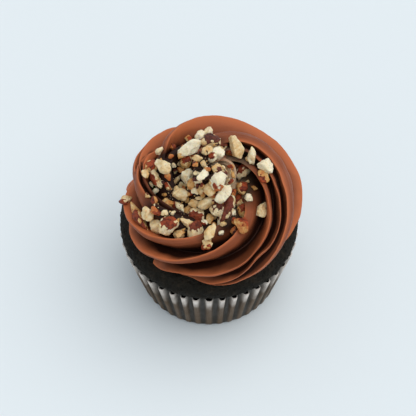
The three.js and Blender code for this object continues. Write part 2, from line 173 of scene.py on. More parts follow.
# Chopped pecans: the photograph's pixel, length, width, turn of the length anticlockwise from the
# picture's right, tone of the flesh from white cream 0 to orange tan 1, then for a piece that carries
# skin the side that it covers as an angle in the picture, how far it leans to the viewer, and its tone
NUTS = [
    ((189, 148), 8.4, 4.6, 32, 0.1), ((200, 136), 3.8, 3.4, 40, 0.15), ((209, 134), 4.2, 3.4, 80, 0.2),
    ((210, 143), 6.6, 4.4, -14, 0.5, (70, 50, 0.9)), ((219, 148), 5.4, 3.4, -10, 0.35, (60, 10, 0.7)),
    ((205, 153), 4.2, 3.6, 30, 0.55), ((218, 157), 6.2, 4.6, -20, 0.0),
    ((212, 160), 4.4, 3.8, 60, 0.2, (120, 40, 0.3)), ((188, 163), 4.6, 4.2, 60, 0.55, (100, 40, 0.25)),
    ((199, 159), 3.4, 2.8, 0, 0.5), ((236, 149), 8.6, 4.6, -68, 0.5),
    ((230, 154), 4.6, 3.6, 10, 0.95, (60, 60, 0.1)), ((253, 156), 6.4, 3, 76, 0.3),
    ((266, 168), 5.4, 4.6, -40, 0.15), ((262, 178), 4.6, 3.6, -70, 0.7, (240, 30, 0.2)),
    ((237, 170), 3.6, 3.4, 0, 0.6, (90, 70, 1)), ((246, 173), 7.2, 4.4, 60, 0.3, (120, 20, 0.35)),
    ((243, 191), 4.8, 3.8, 80, 0.6, (30, 30, 0.3)), ((240, 202), 4.6, 4, 10, 0.5, (120, 40, 0.4)),
    ((243, 214), 5, 4.4, 60, 0.75, (100, 30, 0.2)), ((242, 227), 6, 4.6, -30, 0.85, (60, 20, 0.1)),
    ((260, 211), 6, 4.2, 64, 0.4), ((144, 175), 3.2, 2.6, 60, 0.6),
    ((150, 168), 4.6, 4, 30, 0.6, (60, 60, 0.2)), ((165, 168), 6.4, 5, -10, 0.4),
    ((158, 179), 6.6, 3.4, -58, 0.35, (200, 30, 0.3)), ((176, 181), 9.4, 1.7, 45, 0.55),
    ((190, 179), 5.2, 4.8, 20, 0.25), ((197, 174), 2.6, 2, 0, 0.3), ((204, 177), 6, 3.6, 80, 0.05),
    ((216, 178), 6, 5.2, 50, 0.05), ((196, 191), 4.6, 2.8, -16, 0.35), ((211, 190), 4.6, 3.8, 70, 0.5),
    ((223, 191), 7, 5, 48, 0.05), ((178, 196), 6.4, 4.4, -12, 0.4), ((168, 204), 4.8, 4, 20, 0.75),
    ((180, 209), 6.2, 3.4, -62, 0.4, (190, 30, 0.2)), ((188, 212), 4, 3.6, 40, 0.6),
    ((195, 203), 3.8, 2.8, -5, 0.5), ((207, 203), 5.6, 3.8, 34, 0.45),
    ((217, 208), 5.4, 4.4, 60, 0.3, (70, 50, 0.8)), ((226, 214), 11.6, 4.6, 72, 0.3, (120, 60, 0.75)),
    ((197, 215), 5.6, 5.2, 10, 0.25, (250, 75, 0.5)), ((209, 220), 3.8, 3, 60, 0.65),
    ((158, 225), 5.8, 4.4, -10, 0.4), ((170, 226), 6.6, 6, -20, 0.3, (90, 50, 0.3)),
    ((180, 234), 4, 3.6, 20, 0.6), ((187, 223), 4.6, 3, -20, 0.5),
    ((196, 231), 5.8, 5.2, 60, 0.3, (90, 30, 0.6)), ((209, 234), 6.4, 3.8, 74, 0.45),
    ((206, 243), 4.2, 3.4, 20, 0.55, (270, 10, 0.3)), ((149, 214), 4.6, 4, 80, 0.45),
    ((138, 218), 11.2, 4, -64, 0.7, (200, 50, 0.45)), ((126, 193), 4, 3.4, 30, 0.3),
    ((126, 201), 4, 3.2, 10, 0.5, (240, 30, 0.4)),
]
NUT_SEED = 7
NUT_CUTS = 4
NUT_GROWTH = 1.3
NUT_HEIGHT_SHARE = 0.85
NUT_SUNK_SHARE = 0.12
NUT_TURN_UP = 0.6
NUT_TURN_TO_VIEW = 0.6
NUT_TONE_SPREAD = 0.06
NUT_FACETS = 9
NUT_FACET_JITTER = 0.5
NUT_FACET_REACH = (0.42, 0.86)
NUT_EDGE_SHARPNESS = 44
NUT_GROWN_SIDE = 0.55
NUT_DENTS = 3
NUT_DENT_DEPTH = (0.05, 0.24)
NUT_DENT_REACH = (0.3, 0.55)

# The nuts' rough surface: how far it stands out, and the size and share of its coarse and its fine grain
NUT_ROUGHNESS = 0.2
COARSE_SIZE = 1.1
COARSE_SHARE = 1.5
FINE_SIZE = 0.4
FINE_SHARE = 0.8
NOISE_SHIFT = 90
GRAIN_STRETCH = np.array([0.15, 1, 1])

# The nuts' brown skin
SKIN_THICKNESS = 0.14
SKIN_RIM_THICKNESS = 0.03
SKIN_SINK = 0.05
SKIN_EDGE = 0.46
SKIN_RAGGED = 0.8
SKIN_PATCH = 1.1

# How far round a nut the frosting counts as crowded, for the painted shade between the nuts
CROWD_REACH = 4.5

# Smaller pieces between the listed ones: how many, the middle and reach in pixels of where they lie, how
# they gather at the middle, their length, and how many carry skin
FILL_NUTS = 150
FILL_CUTS = 3
FILL_MIDDLE = (200, 188)
FILL_REACH = (56, 54)
FILL_THINNING = 0.8
FILL_LENGTH = (1.8, 3.8)
FILL_WIDTH_SHARE = 0.75
FILL_SPACING = 5.4
FILL_TONE_POWER = 0.7
FILL_SKIN_SHARE = 0.35
FILL_SKIN_LEAN_DEG = 45

# The finest crumbs: pixels and spread of the places where they lie
CRUMBS = 420
CRUMB_CUTS = 2
CRUMB_CENTRES = [((200, 185), 30), ((227, 176), 9), ((212, 163), 12), ((180, 205), 24), ((225, 185), 12)]
CRUMB_SCATTER = 0.5
CRUMB_SIZES = (0.25, 1.3)
CRUMB_RARITY = 4
CRUMB_SHAPE = (1.3, 1, 0.8)
CRUMB_LIFT_SHARE = 0.15
CRUMB_TONES = (0.1, 0.8)
CRUMB_SEED = 12

GOLDEN_ANGLE = math.pi * (3 - math.sqrt(5))

# Stage, in metres
FLOOR_HALF = 3
SKY_COLOUR = (0.9, 0.95, 1, 1)
SKY_STRENGTH = 0.74
WINDOW_TOWARD = (0.42, 0.04, 0.9)
WINDOW_SPREAD_DEG = 70
WINDOW_STRENGTH = 1.3
WINDOW_COLOUR = (1, 0.98, 0.95)


def through(keys, at):
    """A smooth curve through key values that never swings past them."""
    xs = np.array([key[0] for key in keys], float)
    ys = np.array([key[1] for key in keys], float)
    slope = np.diff(ys) / np.diff(xs)
    tangent = np.zeros(len(xs))
    tangent[0], tangent[-1] = slope[0], slope[-1]
    for i in range(1, len(xs) - 1):
        product = slope[i - 1] * slope[i]
        if product > 0:
            tangent[i] = 2 * product / (slope[i - 1] + slope[i])
    at = np.clip(at, xs[0], xs[-1])
    i = np.clip(np.searchsorted(xs, at, side="right") - 1, 0, len(xs) - 2)
    span = xs[i + 1] - xs[i]
    t = (at - xs[i]) / span
    rise = (2 * t**3 - 3 * t**2 + 1) * ys[i] + (3 * t**2 - 2 * t**3) * ys[i + 1]
    return rise + (t**3 - 2 * t**2 + t) * span * tangent[i] + (t**3 - t**2) * span * tangent[i + 1]


def loop_faces(rings, count, first=0):
    """Quads between rings of points that each close on themselves."""
    faces = []
    for ring in range(rings - 1):
        for i in range(count):
            a, b = first + ring * count + i, first + ring * count + (i + 1) % count
            faces.append((a, b, b + count, a + count))
    return faces


def add_piece(name, points, faces, material, attributes=None):
    """A smooth mesh piece from points in millimetres, riding on the cupcake's one body."""
    mesh = bpy.data.meshes.new(name)
    mesh.from_pydata((np.asarray(points, float) * MM).tolist(), [], faces)
    for key, values in (attributes or {}).items():
        values = np.asarray(values, np.float32)
        kind = "FLOAT" if values.ndim == 1 else "FLOAT_VECTOR"
        layer = mesh.attributes.new(key, kind, "POINT")
        layer.data.foreach_set("value" if kind == "FLOAT" else "vector", values.ravel())
    mesh.update()
    mesh.shade_smooth()
    piece = bpy.data.objects.new(name, mesh)
    bpy.context.scene.collection.objects.link(piece)
    mesh.materials.append(material)
    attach(piece, "root")
    return piece


def roughen(points, size, amount, seed):
    """A smooth random value for each point, from -amount to amount, that varies over about size."""
    shift = Vector([seed * step for step in NOISE_STEP])
    return np.array([noise.noise(Vector(point) / size + shift) for point in points]) * amount


def random_direction(rng):
    """A direction of length 1, all directions being as likely."""
    return np.array(Vector([rng.gauss(0, 1) for _ in range(3)]).normalized())


# Materials

class Finish:
    """A Principled material and short ways to add nodes to it."""

    def __init__(self, name, **sockets):
        self.material = bpy.data.materials.new(name)
        self.material.use_nodes = True
        self.tree = self.material.node_tree
        self.shader = self.tree.nodes["Principled BSDF"]
        for key, value in sockets.items():
            self.shader.inputs[key.replace("_", " ")].default_value = value

    def node(self, kind, inputs=None, **settings):
        made = self.tree.nodes.new(kind)
        for key, value in settings.items():
            setattr(made, key, value)
        for key, value in (inputs or {}).items():
            if isinstance(value, bpy.types.NodeSocket):
                self.tree.links.new(value, made.inputs[key])
            else:
                made.inputs[key].default_value = value
        return made

    def link(self, socket, key):
        self.tree.links.new(socket, self.shader.inputs[key])

    def where(self):
        return self.node("ShaderNodeTexCoord").outputs["Object"]

    def attribute(self, name, output="Fac"):
        return self.node("ShaderNodeAttribute", attribute_name=name).outputs[output]

    def noise(self, vector, scale, detail, roughness=0.55):
        inputs = {"Vector": vector, "Scale": scale, "Detail": detail, "Roughness": roughness}
        return self.node("ShaderNodeTexNoise", inputs).outputs["Fac"]

    def cells(self, vector, scale):
        inputs = {"Vector": vector, "Scale": scale}
        return self.node("ShaderNodeTexVoronoi", inputs, feature="F1").outputs["Distance"]

    def span(self, value, low, high, to_low=0.0, to_high=1.0):
        """The value stretched so that low becomes to_low and high becomes to_high, and no further."""
        inputs = {"Value": value, "From Min": low, "From Max": high, "To Min": to_low, "To Max": to_high}
        return self.node("ShaderNodeMapRange", inputs).outputs["Result"]

    def math(self, operation, a, b):
        return self.node("ShaderNodeMath", {0: a, 1: b}, operation=operation).outputs[0]

    def blend(self, factor, a, b):
        """Colour a where the factor is 0 and colour b where it is 1."""
        made = self.node("ShaderNodeMix", data_type="RGBA", blend_type="MIX")
        for key, value in ((0, factor), (6, a), (7, b)):
            if isinstance(value, bpy.types.NodeSocket):
                self.tree.links.new(value, made.inputs[key])
            else:
                made.inputs[key].default_value = value
        return made.outputs[2]

    def ramp(self, value, stops):
        """A colour for the value, through stops of a position and a colour."""
        made = self.node("ShaderNodeValToRGB", {"Fac": value})
        elements = made.color_ramp.elements
        while len(elements) < len(stops):
            elements.new(0.5)
        for element, (position, colour) in zip(elements, stops):
            element.position = position
            element.color = colour
        return made.outputs["Color"]

    def bump(self, height, distance, normal=None):
        """A relief as deep as distance in millimetres, on top of another one where that is given."""
        inputs = {"Height": height, "Distance": distance * MM, "Strength": 1.0}
        if normal is not None:
            inputs["Normal"] = normal
        return self.node("ShaderNodeBump", inputs).outputs["Normal"]


def srgb(red, green, blue):
    """A colour from 0 to 255 screen values."""
    def linear(value):
        value /= 255
        return value / 12.92 if value <= 0.04045 else ((value + 0.055) / 1.055) ** 2.4
    return (linear(red), linear(green), linear(blue), 1.0)


def frosting_finish():
    """Matt chocolate cream: streaks along the pull, painted highlights on the lips, painted shade in the
    hollows and between the nuts, and a dusting of nut meal.
    """
    finish = Finish("frosting_cream", IOR=1.42, Specular_IOR_Level=0.2, Subsurface_Weight=0.08,
                    Subsurface_Radius=(1.0, 0.32, 0.16), Subsurface_Scale=1.1 * MM)
    brown, light_brown, drawn_brown = srgb(135, 71, 42), srgb(147, 82, 52), srgb(116, 57, 32)
    lip_highlight, painted_shade_brown, meal_beige = srgb(200, 112, 68), srgb(40, 18, 10), srgb(205, 178, 146)
    where = finish.where()
    broad = finish.noise(where, scale=90, detail=3)
    tone = finish.blend(finish.span(broad, 0.35, 0.65), brown, light_brown)
    streak = finish.noise(finish.attribute("flow", "Vector"), scale=0.9, detail=5, roughness=0.6)
    tone = finish.blend(finish.span(streak, 0.3, 0.7, to_high=0.35), tone, drawn_brown)
    # Painted highlight: the lips of the crests are lightened in the colour
    tone = finish.blend(finish.math("MULTIPLY", finish.attribute("lip"), 0.85), tone, lip_highlight)
    # Painted shade: the hollows, and the frosting where nuts crowd, are darkened in the colour
    deep = finish.span(finish.attribute("hollow"), 0.2, 0.72)
    crowded = finish.span(finish.attribute("crowd"), 1.1, 3.0)
    tone = finish.blend(finish.math("MAXIMUM", deep, crowded), tone, painted_shade_brown)
    meal = finish.attribute("meal")
    grain = finish.noise(where, scale=1500, detail=2, roughness=0.6)
    dusted = finish.math("MULTIPLY", meal, finish.span(grain, 0.24, 0.46, to_low=0.45))
    finish.link(finish.blend(dusted, tone, meal_beige), "Base Color")
    pits = finish.span(finish.cells(where, scale=520), 0.0, 0.16, to_low=-1.0, to_high=0.0)
    pitted = finish.bump(pits, 0.12, finish.bump(streak, 0.3))
    finish.link(finish.bump(finish.math("MULTIPLY", meal, grain), 0.35, pitted), "Normal")
    finish.link(finish.span(streak, 0.3, 0.7, to_low=0.4, to_high=0.56), "Roughness")
    return finish.material


def flesh_finish():
    """Broken pecan flesh, from white cream to toasted tan by each piece's tone, mottled and freckled."""
    finish = Finish("pecan_flesh", Roughness=0.55, IOR=1.45, Subsurface_Weight=0.2,
                    Subsurface_Radius=(1.0, 0.7, 0.4), Subsurface_Scale=0.6 * MM)
    flesh = [(0.0, srgb(252, 240, 208)), (0.3, srgb(242, 222, 178)), (0.52, srgb(226, 194, 140)),
             (0.75, srgb(214, 162, 92)), (1.0, srgb(188, 102, 44))]
    freckle_brown = srgb(150, 104, 62)
    where = finish.where()
    mottle = finish.noise(where, scale=420, detail=5, roughness=0.6)
    shift = finish.span(mottle, 0.3, 0.7, to_low=-0.26, to_high=0.26)
    colour = finish.ramp(finish.math("ADD", finish.attribute("tone"), shift), flesh)
    freckle = finish.span(finish.noise(where, scale=1300, detail=3, roughness=0.7), 0.58, 0.68)
    colour = finish.blend(finish.math("MULTIPLY", freckle, 0.35), colour, freckle_brown)
    finish.link(colour, "Base Color")
    grain = finish.noise(where, scale=1700, detail=4, roughness=0.65)
    finish.link(finish.bump(grain, 0.3, finish.bump(mottle, 0.9)), "Normal")
    return finish.material


def skin_finish():
    """Pecan skin, from red brown to dark purple brown by each piece's tone, with lines along the nut."""
    finish = Finish("pecan_skin", IOR=1.45, Specular_IOR_Level=0.3)
    red_shade, red_light = srgb(92, 24, 10), srgb(190, 78, 30)
    dark_shade, dark_light, line_tan = srgb(32, 15, 15), srgb(92, 50, 44), srgb(164, 92, 52)
    lines = finish.noise(finish.attribute("flow", "Vector"), scale=1.6, detail=6, roughness=0.65)
    mottle = finish.span(finish.noise(finish.where(), scale=600, detail=4, roughness=0.6), 0.35, 0.65)
    red = finish.blend(mottle, red_shade, red_light)
    dark = finish.blend(mottle, dark_shade, dark_light)
    colour = finish.blend(finish.attribute("tone"), red, dark)
    colour = finish.blend(finish.span(lines, 0.5, 0.7, to_high=0.5), colour, line_tan)
    finish.link(colour, "Base Color")
    finish.link(finish.bump(lines, 0.6), "Normal")
    finish.link(finish.span(lines, 0.3, 0.7, to_low=0.34, to_high=0.6), "Roughness")
    return finish.material


def cake_finish():
    """Nearly black chocolate sponge with open pores."""
    finish = Finish("cake_crumb", Roughness=0.82, IOR=1.4, Specular_IOR_Level=0.3)
    sponge = [(0.3, srgb(14, 13, 9)), (0.52, srgb(27, 24, 17)), (0.72, srgb(48, 40, 30))]
    where = finish.where()
    mottle = finish.noise(where, scale=330, detail=6, roughness=0.7)
    finish.link(finish.ramp(mottle, sponge), "Base Color")
    pores = finish.span(finish.cells(where, scale=700), 0.0, 0.45, to_low=-1.0, to_high=0.0)
    finish.link(finish.bump(pores, 0.5, finish.bump(mottle, 0.8)), "Normal")
    return finish.material


def paper_finish():
    """Baked paper: brown low down, paler on the ridges towards the rim, dark in the valleys."""
    finish = Finish("greaseproof_paper", IOR=1.45, Specular_IOR_Level=0.22)
    low_brown, pale = srgb(88, 68, 46), srgb(224, 215, 206)
    shaded, fibre_tan = srgb(25, 22, 15), srgb(150, 128, 100)
    where = finish.where()
    blot = finish.noise(where, scale=130, detail=4, roughness=0.6)
    edge = finish.span(blot, 0.3, 0.7, to_low=-0.12, to_high=0.12)
    # The ridges grow paler towards the rim and browner low down
    rim_paleness = finish.span(finish.math("ADD", finish.attribute("rise"), edge), 0.62, 1.0)
    colour = finish.blend(finish.attribute("valley"), finish.blend(rim_paleness, low_brown, pale), shaded)
    fibre = finish.noise(where, scale=2200, detail=4, roughness=0.7)
    colour = finish.blend(finish.span(fibre, 0.4, 0.7, to_high=0.1), colour, fibre_tan)
    finish.link(colour, "Base Color")
    finish.link(finish.bump(fibre, 0.08, finish.bump(blot, 0.4)), "Normal")
    finish.link(finish.span(blot, 0.3, 0.7, to_low=0.38, to_high=0.6), "Roughness")
    return finish.material


def floor_finish():
    finish = Finish("pale_floor", Roughness=0.7)
    tone = finish.noise(finish.where(), scale=3, detail=2)
    finish.link(finish.blend(tone, srgb(222, 229, 232), srgb(226, 233, 236)), "Base Color")
    return finish.material


# Paper case

def waves(angle, rows):
    """A sum of sine waves round the case."""
    return sum(size * np.sin(angle * times + phase) for size, times, phase in rows)


def pleat_ring(radius, depth, height):
    """One ring of the case: flat-topped ridges and hollow valleys, each a little uneven."""
    angle = 2 * np.pi * np.arange(PLEATS * PLEAT_STEPS) / (PLEATS * PLEAT_STEPS)
    phase = angle * PLEATS + waves(angle, PLEAT_WANDER)
    inward = 0.5 - 0.5 * np.tanh(PLEAT_SQUARENESS * np.cos(phase)) / np.tanh(PLEAT_SQUARENESS)
    deep = depth * np.minimum(1 + waves(angle, PLEAT_DEPTH_WAVES), PLEAT_DEPTH_LIMIT)
    reach = radius - deep * inward
    points = np.stack([reach * np.cos(angle), reach * np.sin(angle), np.full_like(angle, height)], 1)
    return points, inward


def make_case():
    rings, valleys, rises = [], [], []

    def ring(radius, depth, height, rise):
        points, inward = pleat_ring(radius, depth, height)
        rings.append(points)
        valleys.append(inward)
        rises.append(np.full(len(points), rise))

    for share in np.linspace(FOOT_CENTRE_SHARE, 1, FOOT_STEPS):
        ring(FOOT_RADIUS * share, PLEAT_DEPTH_FOOT * share**FOOT_PLEAT_POWER, 0, 0)
    for share in np.linspace(0, 1, WALL_STEPS):
        height = HEEL_HEIGHT + (RIM_HEIGHT - HEEL_HEIGHT) * share
        radius = HEEL_RADIUS + (RIM_RADIUS - HEEL_RADIUS) * share
        ring(radius, PLEAT_DEPTH_FOOT + (PLEAT_DEPTH_RIM - PLEAT_DEPTH_FOOT) * share, height, share)
    for share in np.linspace(1, 0, WALL_STEPS):
        inside = HEEL_HEIGHT + PAPER
        height = inside + (RIM_HEIGHT - inside) * share
        risen = (height - HEEL_HEIGHT) / (RIM_HEIGHT - HEEL_HEIGHT)
        radius = HEEL_RADIUS + (RIM_RADIUS - HEEL_RADIUS) * risen
        depth = PLEAT_DEPTH_FOOT + (PLEAT_DEPTH_RIM - PLEAT_DEPTH_FOOT) * share
        ring(radius - PAPER_ALONG_RADIUS, depth, height, share)
    for share in np.linspace(1, FOOT_CENTRE_SHARE, FOOT_STEPS):
        ring((FOOT_RADIUS - PAPER_ALONG_RADIUS) * share, 0, PAPER, 0)
    count = len(rings[0])
    points = np.concatenate(rings)
    faces = loop_faces(len(rings), count)
    faces.append(tuple(range(count))[::-1])
    faces.append(tuple(range(len(points) - count, len(points))))
    attributes = {"valley": np.concatenate(valleys), "rise": np.concatenate(rises)}
    case = add_piece("case_paper", points, faces, paper_finish(), attributes)
    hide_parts("paper_case")


# Cake

def arc(start, pull, end, steps):
    """Points of a quadratic curve, without its first one."""
    shares = np.linspace(0, 1, steps + 1)[1:, None]
    start, pull, end = (np.array(point, float) for point in (start, pull, end))
    return (1 - shares) ** 2 * start + 2 * shares * (1 - shares) * pull + shares**2 * end


def make_cake():
    wall_foot = HEEL_HEIGHT + PAPER + GAP
    slant = (RIM_RADIUS - HEEL_RADIUS) / (RIM_HEIGHT - HEEL_HEIGHT)
    deepening = (PLEAT_DEPTH_RIM - PLEAT_DEPTH_FOOT) / (RIM_HEIGHT - HEEL_HEIGHT)

    def inner(height):
        up = height - HEEL_HEIGHT
        return HEEL_RADIUS + slant * up - PLEAT_DEPTH_FOOT - deepening * up - PAPER_ALONG_RADIUS - GAP

    foot = (FOOT_RADIUS - PLEAT_DEPTH_FOOT - PAPER_ALONG_RADIUS - GAP, PAPER + GAP)
    wall_top = (inner(RIM_HEIGHT), CAKE_WALL_TOP)
    widest = (CROWN_RADIUS, CROWN_WIDEST_HEIGHT)
    shoulder = (CROWN_SHOULDER_RADIUS, CROWN_SHOULDER_HEIGHT)
    profile = [np.array([(CAKE_CENTRE_RADIUS, PAPER + GAP), foot, (inner(wall_foot), wall_foot), wall_top])]
    profile.append(arc(wall_top, (CROWN_RADIUS, CAKE_WALL_TOP + CROWN_UNDERCUT), widest, CROWN_STEPS))
    profile.append(arc(widest, (CROWN_RADIUS, CROWN_WIDEST_HEIGHT + CROWN_FULLNESS), shoulder, CROWN_STEPS))
    top = (CAKE_CENTRE_RADIUS, CROWN_TOP)
    profile.append(arc(shoulder, (CROWN_FLAT_RADIUS, CROWN_TOP), top, CROWN_FLAT_STEPS))
    profile = np.concatenate(profile)
    angle = 2 * np.pi * np.arange(CAKE_SIDES) / CAKE_SIDES
    points = np.stack([
        profile[:, :1] * np.cos(angle), profile[:, :1] * np.sin(angle),
        np.repeat(profile[:, 1:], CAKE_SIDES, 1)], -1).reshape(-1, 3)
    crown = np.repeat(profile[:, 1] >= CAKE_WALL_TOP, CAKE_SIDES)
    outward = points - np.array([0, 0, RELIEF_CENTRE_HEIGHT])
    outward /= np.linalg.norm(outward, axis=1)[:, None]
    kinds = enumerate(RELIEF_LUMPS, 1)
    lumps = sum(roughen(points, size, RELIEF * share, seed) for seed, (size, share) in kinds)
    points = points + outward * (np.minimum(lumps, GAP) * crown)[:, None]
    faces = loop_faces(len(profile), CAKE_SIDES)
    faces.append(tuple(range(CAKE_SIDES))[::-1])
    faces.append(tuple(range(len(points) - CAKE_SIDES, len(points))))
    cake = add_piece("cake_body", points, faces, cake_finish())
    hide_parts("cake")


# Frosting

def bell(away, spread):
    """A bell curve with the value 1 in its middle."""
    return np.exp(-((away / spread) ** 2))


def crest_angle(crest, turn):
    """Where a crest lies round the rope at each turn, in degrees, with its kinks."""
    index, rounds = crest % len(CREST_DEG), crest // len(CREST_DEG)
    angle = np.full_like(turn, CREST_DEG[index] + 360 * rounds)
    for kinked, at, spread, swing in KINKS:
        if kinked == index:
            angle += swing * bell(turn - at, spread)
    return angle


def rope_section(turn):
    """The crests and flutes round the rope: angles in degrees, shares of its radius, and where lips are."""
    angles, shares = [], []
    part = 0.5 - 0.5 * np.cos(np.pi * np.arange(FLUTE_STEPS) / FLUTE_STEPS)
    hollow = np.sin(np.pi * part**FLUTE_SKEW) ** FLUTE_ROUNDNESS
    for crest in range(len(CREST_DEG)):
        start, end = crest_angle(crest, turn), crest_angle(crest + 1, turn)
        depth = FLUTE_DEPTH * np.minimum(1, (end - start) / FLUTE_FULL_WIDTH_DEG)
        angles.append(start + (end - start) * part)
        shares.append(1 - depth * hollow)
    lip = np.tile(np.clip(1 - np.minimum(part, 1 - part) / LIP_WIDTH, 0, 1), len(CREST_DEG))
    return np.concatenate(angles, 1), np.concatenate(shares, 1), lip


def rope_points():
    """The rope's points, ring after ring, and for each the flow of the cream and whether it is on a lip."""
    turn = np.linspace(SWIRL_FIRST_TURN, SWIRL_LAST_TURN, ROPE_STEPS)[:, None]
    star, share, lip = rope_section(turn)
    degrees = star + through(TWIST_DEG, turn)
    toward_dent = (degrees - DENT_DEG + 180) % 360 - 180
    dent = bell(turn - DENT_TURN, DENT_TURNS) * bell(toward_dent, DENT_SPREAD_DEG)
    share = share * (1 - DENT_DEPTH * dent)
    angle = np.radians(degrees)
    from_end = np.minimum(turn - SWIRL_FIRST_TURN, SWIRL_LAST_TURN - turn)
    closing = 1 - np.clip(from_end / ROPE_END_TURNS, 0, 1)
    thick = through(ROPE_RADIUS, turn) * np.sqrt(1 - closing**2 * ROPE_END_CLOSING)
    across = through(PATH_RADIUS, turn) + thick * share * np.sin(angle)
    squeezed = AXIS_NEAR**2 / (2 * AXIS_NEAR - np.minimum(across, AXIS_NEAR))
    across = np.where(across > AXIS_NEAR, across, squeezed)
    up = through(PATH_HEIGHT, turn) + thick * share * np.cos(angle)
    azimuth = math.radians(SWIRL_START_DEG) - 2 * np.pi * turn
    x = through(DRIFT_X, turn) + across * np.cos(azimuth)
    y = through(DRIFT_Y, turn) + across * np.sin(azimuth)
    points = np.stack([x, y, up], -1)
    spin = np.radians(star)
    travelled = np.broadcast_to(FLOW_PITCH * turn, spin.shape)
    flow = np.stack([thick * np.cos(spin), thick * np.sin(spin), travelled], -1)
    return points.reshape(-1, 3), flow.reshape(-1, 3), np.tile(lip, ROPE_STEPS)


def mound_points():
    """The mound's points, ring after ring, and how many rings it has."""
    last = len(MOUND_RINGS) - 1
    at = np.linspace(0, last, last * MOUND_STEPS + 1)
    rows = np.array(MOUND_RINGS)
    radius, height, turn = (np.interp(at, np.arange(last + 1), rows[:, i])[:, None] for i in range(3))
    angle = 2 * np.pi * np.arange(MOUND_SIDES)[None, :] / MOUND_SIDES
    x = through(DRIFT_X, turn) + radius * np.cos(angle)
    y = through(DRIFT_Y, turn) + radius * np.sin(angle)
    return np.stack([x, y, np.broadcast_to(height, x.shape)], -1).reshape(-1, 3), len(at)


def shelter(rings, every, tree):
    """How closed in each point of a grid of rings is, from 0 in the open to 1, by short rays from it."""
    along = np.gradient(rings, axis=0)
    around = np.roll(rings, -1, 1) - np.roll(rings, 1, 1)
    normals = np.cross(around, along)
    normals /= np.maximum(np.linalg.norm(normals, axis=2, keepdims=True), 1e-9)
    middle = rings.mean(1, keepdims=True)
    if ((rings - middle) * normals).sum() < 0:
        normals = -normals
    rng = random.Random(SHELTER_SEED)
    spread = [random_direction(rng) * SHELTER_SPREAD for _ in range(SHELTER_RAYS)]
    picked = sorted(set(range(0, len(rings), every)) | {len(rings) - 1})
    blocked = np.zeros((len(picked), rings.shape[1]))
    for row, ring in enumerate(picked):
        for column in range(rings.shape[1]):
            normal = normals[ring, column]
            start = Vector(rings[ring, column] + normal * SHELTER_LIFT)
            hits = [tree.ray_cast(start, Vector(normal + way), SHELTER_REACH)[0] for way in spread]
            blocked[row, column] = sum(hit is not None for hit in hits) / SHELTER_RAYS
    everywhere = np.arange(len(rings))
    columns = [np.interp(everywhere, picked, blocked[:, column]) for column in range(rings.shape[1])]
    return np.stack(columns, 1).ravel()


def sway(points):
    """A small uneven shift of each point, in each of the three directions."""
    ways = []
    for seed in SWAY_SEEDS:
        ripple = roughen(points, RIPPLE_SIZE, RIPPLE_AMOUNT, seed + RIPPLE_SEED_SHIFT)
        ways.append(roughen(points, SWAY_SIZE, SWAY_AMOUNT, seed) + ripple)
    return np.stack(ways, 1)


def make_frosting():
    """The swirl, and a tree of its surface that the nuts are laid on."""
    rope, flow, lip = rope_points()
    count = len(rope) // ROPE_STEPS
    mound, levels = mound_points()
    faces = loop_faces(ROPE_STEPS, count)
    faces.append(tuple(range(count))[::-1])
    faces.append(tuple(range(len(rope) - count, len(rope))))
    faces += loop_faces(levels, MOUND_SIDES, len(rope))
    points = np.concatenate([rope, mound])
    faces.append(tuple(range(len(points) - MOUND_SIDES, len(points))))
    points = points + sway(points)
    from_meal = (points - MEAL_MIDDLE) / MEAL_REACH
    meal = np.clip(MEAL_STRENGTH * np.exp(-(from_meal**2).sum(1)), 0, 1)
    flow = np.concatenate([flow, mound])
    tree = BVHTree.FromPolygons([Vector(point) for point in points], faces)
    rings = [points[:len(rope)].reshape(ROPE_STEPS, count, 3), points[len(rope):].reshape(levels, -1, 3)]
    # How closed in each point is, for the painted shade in the frosting's hollows
    hollow = np.concatenate([shelter(rings[0], SHELTER_EVERY, tree), shelter(rings[1], 1, tree)])
    lip = np.concatenate([lip, np.zeros(len(mound))])
    attributes = {"flow": flow, "meal": meal, "hollow": hollow, "lip": lip}
    swirl = add_piece("frosting_swirl", points, faces, frosting_finish(), attributes)
    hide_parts("frosting")
    return swirl, tree


# Camera

def camera_frame():
    """Where the camera stands, and its forward, right and up directions."""
    lift = math.radians(ELEVATION_DEG)
    back = Vector((0, -math.cos(lift), math.sin(lift)))
    return AIM + back * CAMERA_DISTANCE, -back, Vector((1, 0, 0)), Vector((0, math.sin(lift), math.cos(lift)))


def pixel_ray(pixel):
    """Where the camera stands, and the direction in which it sees a pixel of the photograph."""
    eye, forward, right, up = camera_frame()
    across = (pixel[0] - PHOTO_SIDE / 2) / FOCAL_PIXELS
    rise = (PHOTO_SIDE / 2 - pixel[1]) / FOCAL_PIXELS
    return eye, (forward + right * across + up * rise).normalized()


def make_camera():
    eye, forward, _, _ = camera_frame()
    camera = bpy.data.objects.new("camera", bpy.data.cameras.new("camera"))
    bpy.context.scene.collection.objects.link(camera)
    camera.data.sensor_width = SENSOR
    camera.data.lens = FOCAL_PIXELS * SENSOR / PHOTO_SIDE
    camera.location = eye * MM
    camera.rotation_mode = "QUATERNION"
    camera.rotation_quaternion = forward.to_track_quat("-Z", "Y")
    bpy.context.scene.camera = camera


# Nuts

def ball(cuts):
    """The directions and faces of an evenly divided ball."""
    mesh = bmesh.new()
    bmesh.ops.create_icosphere(mesh, subdivisions=cuts, radius=1)
    directions = np.array([vert.co[:] for vert in mesh.verts])
    faces = [tuple(vert.index for vert in face.verts) for face in mesh.faces]
    mesh.free()
    return directions, faces


BALLS = {cuts: ball(cuts) for cuts in (CRUMB_CUTS, FILL_CUTS, NUT_CUTS)}


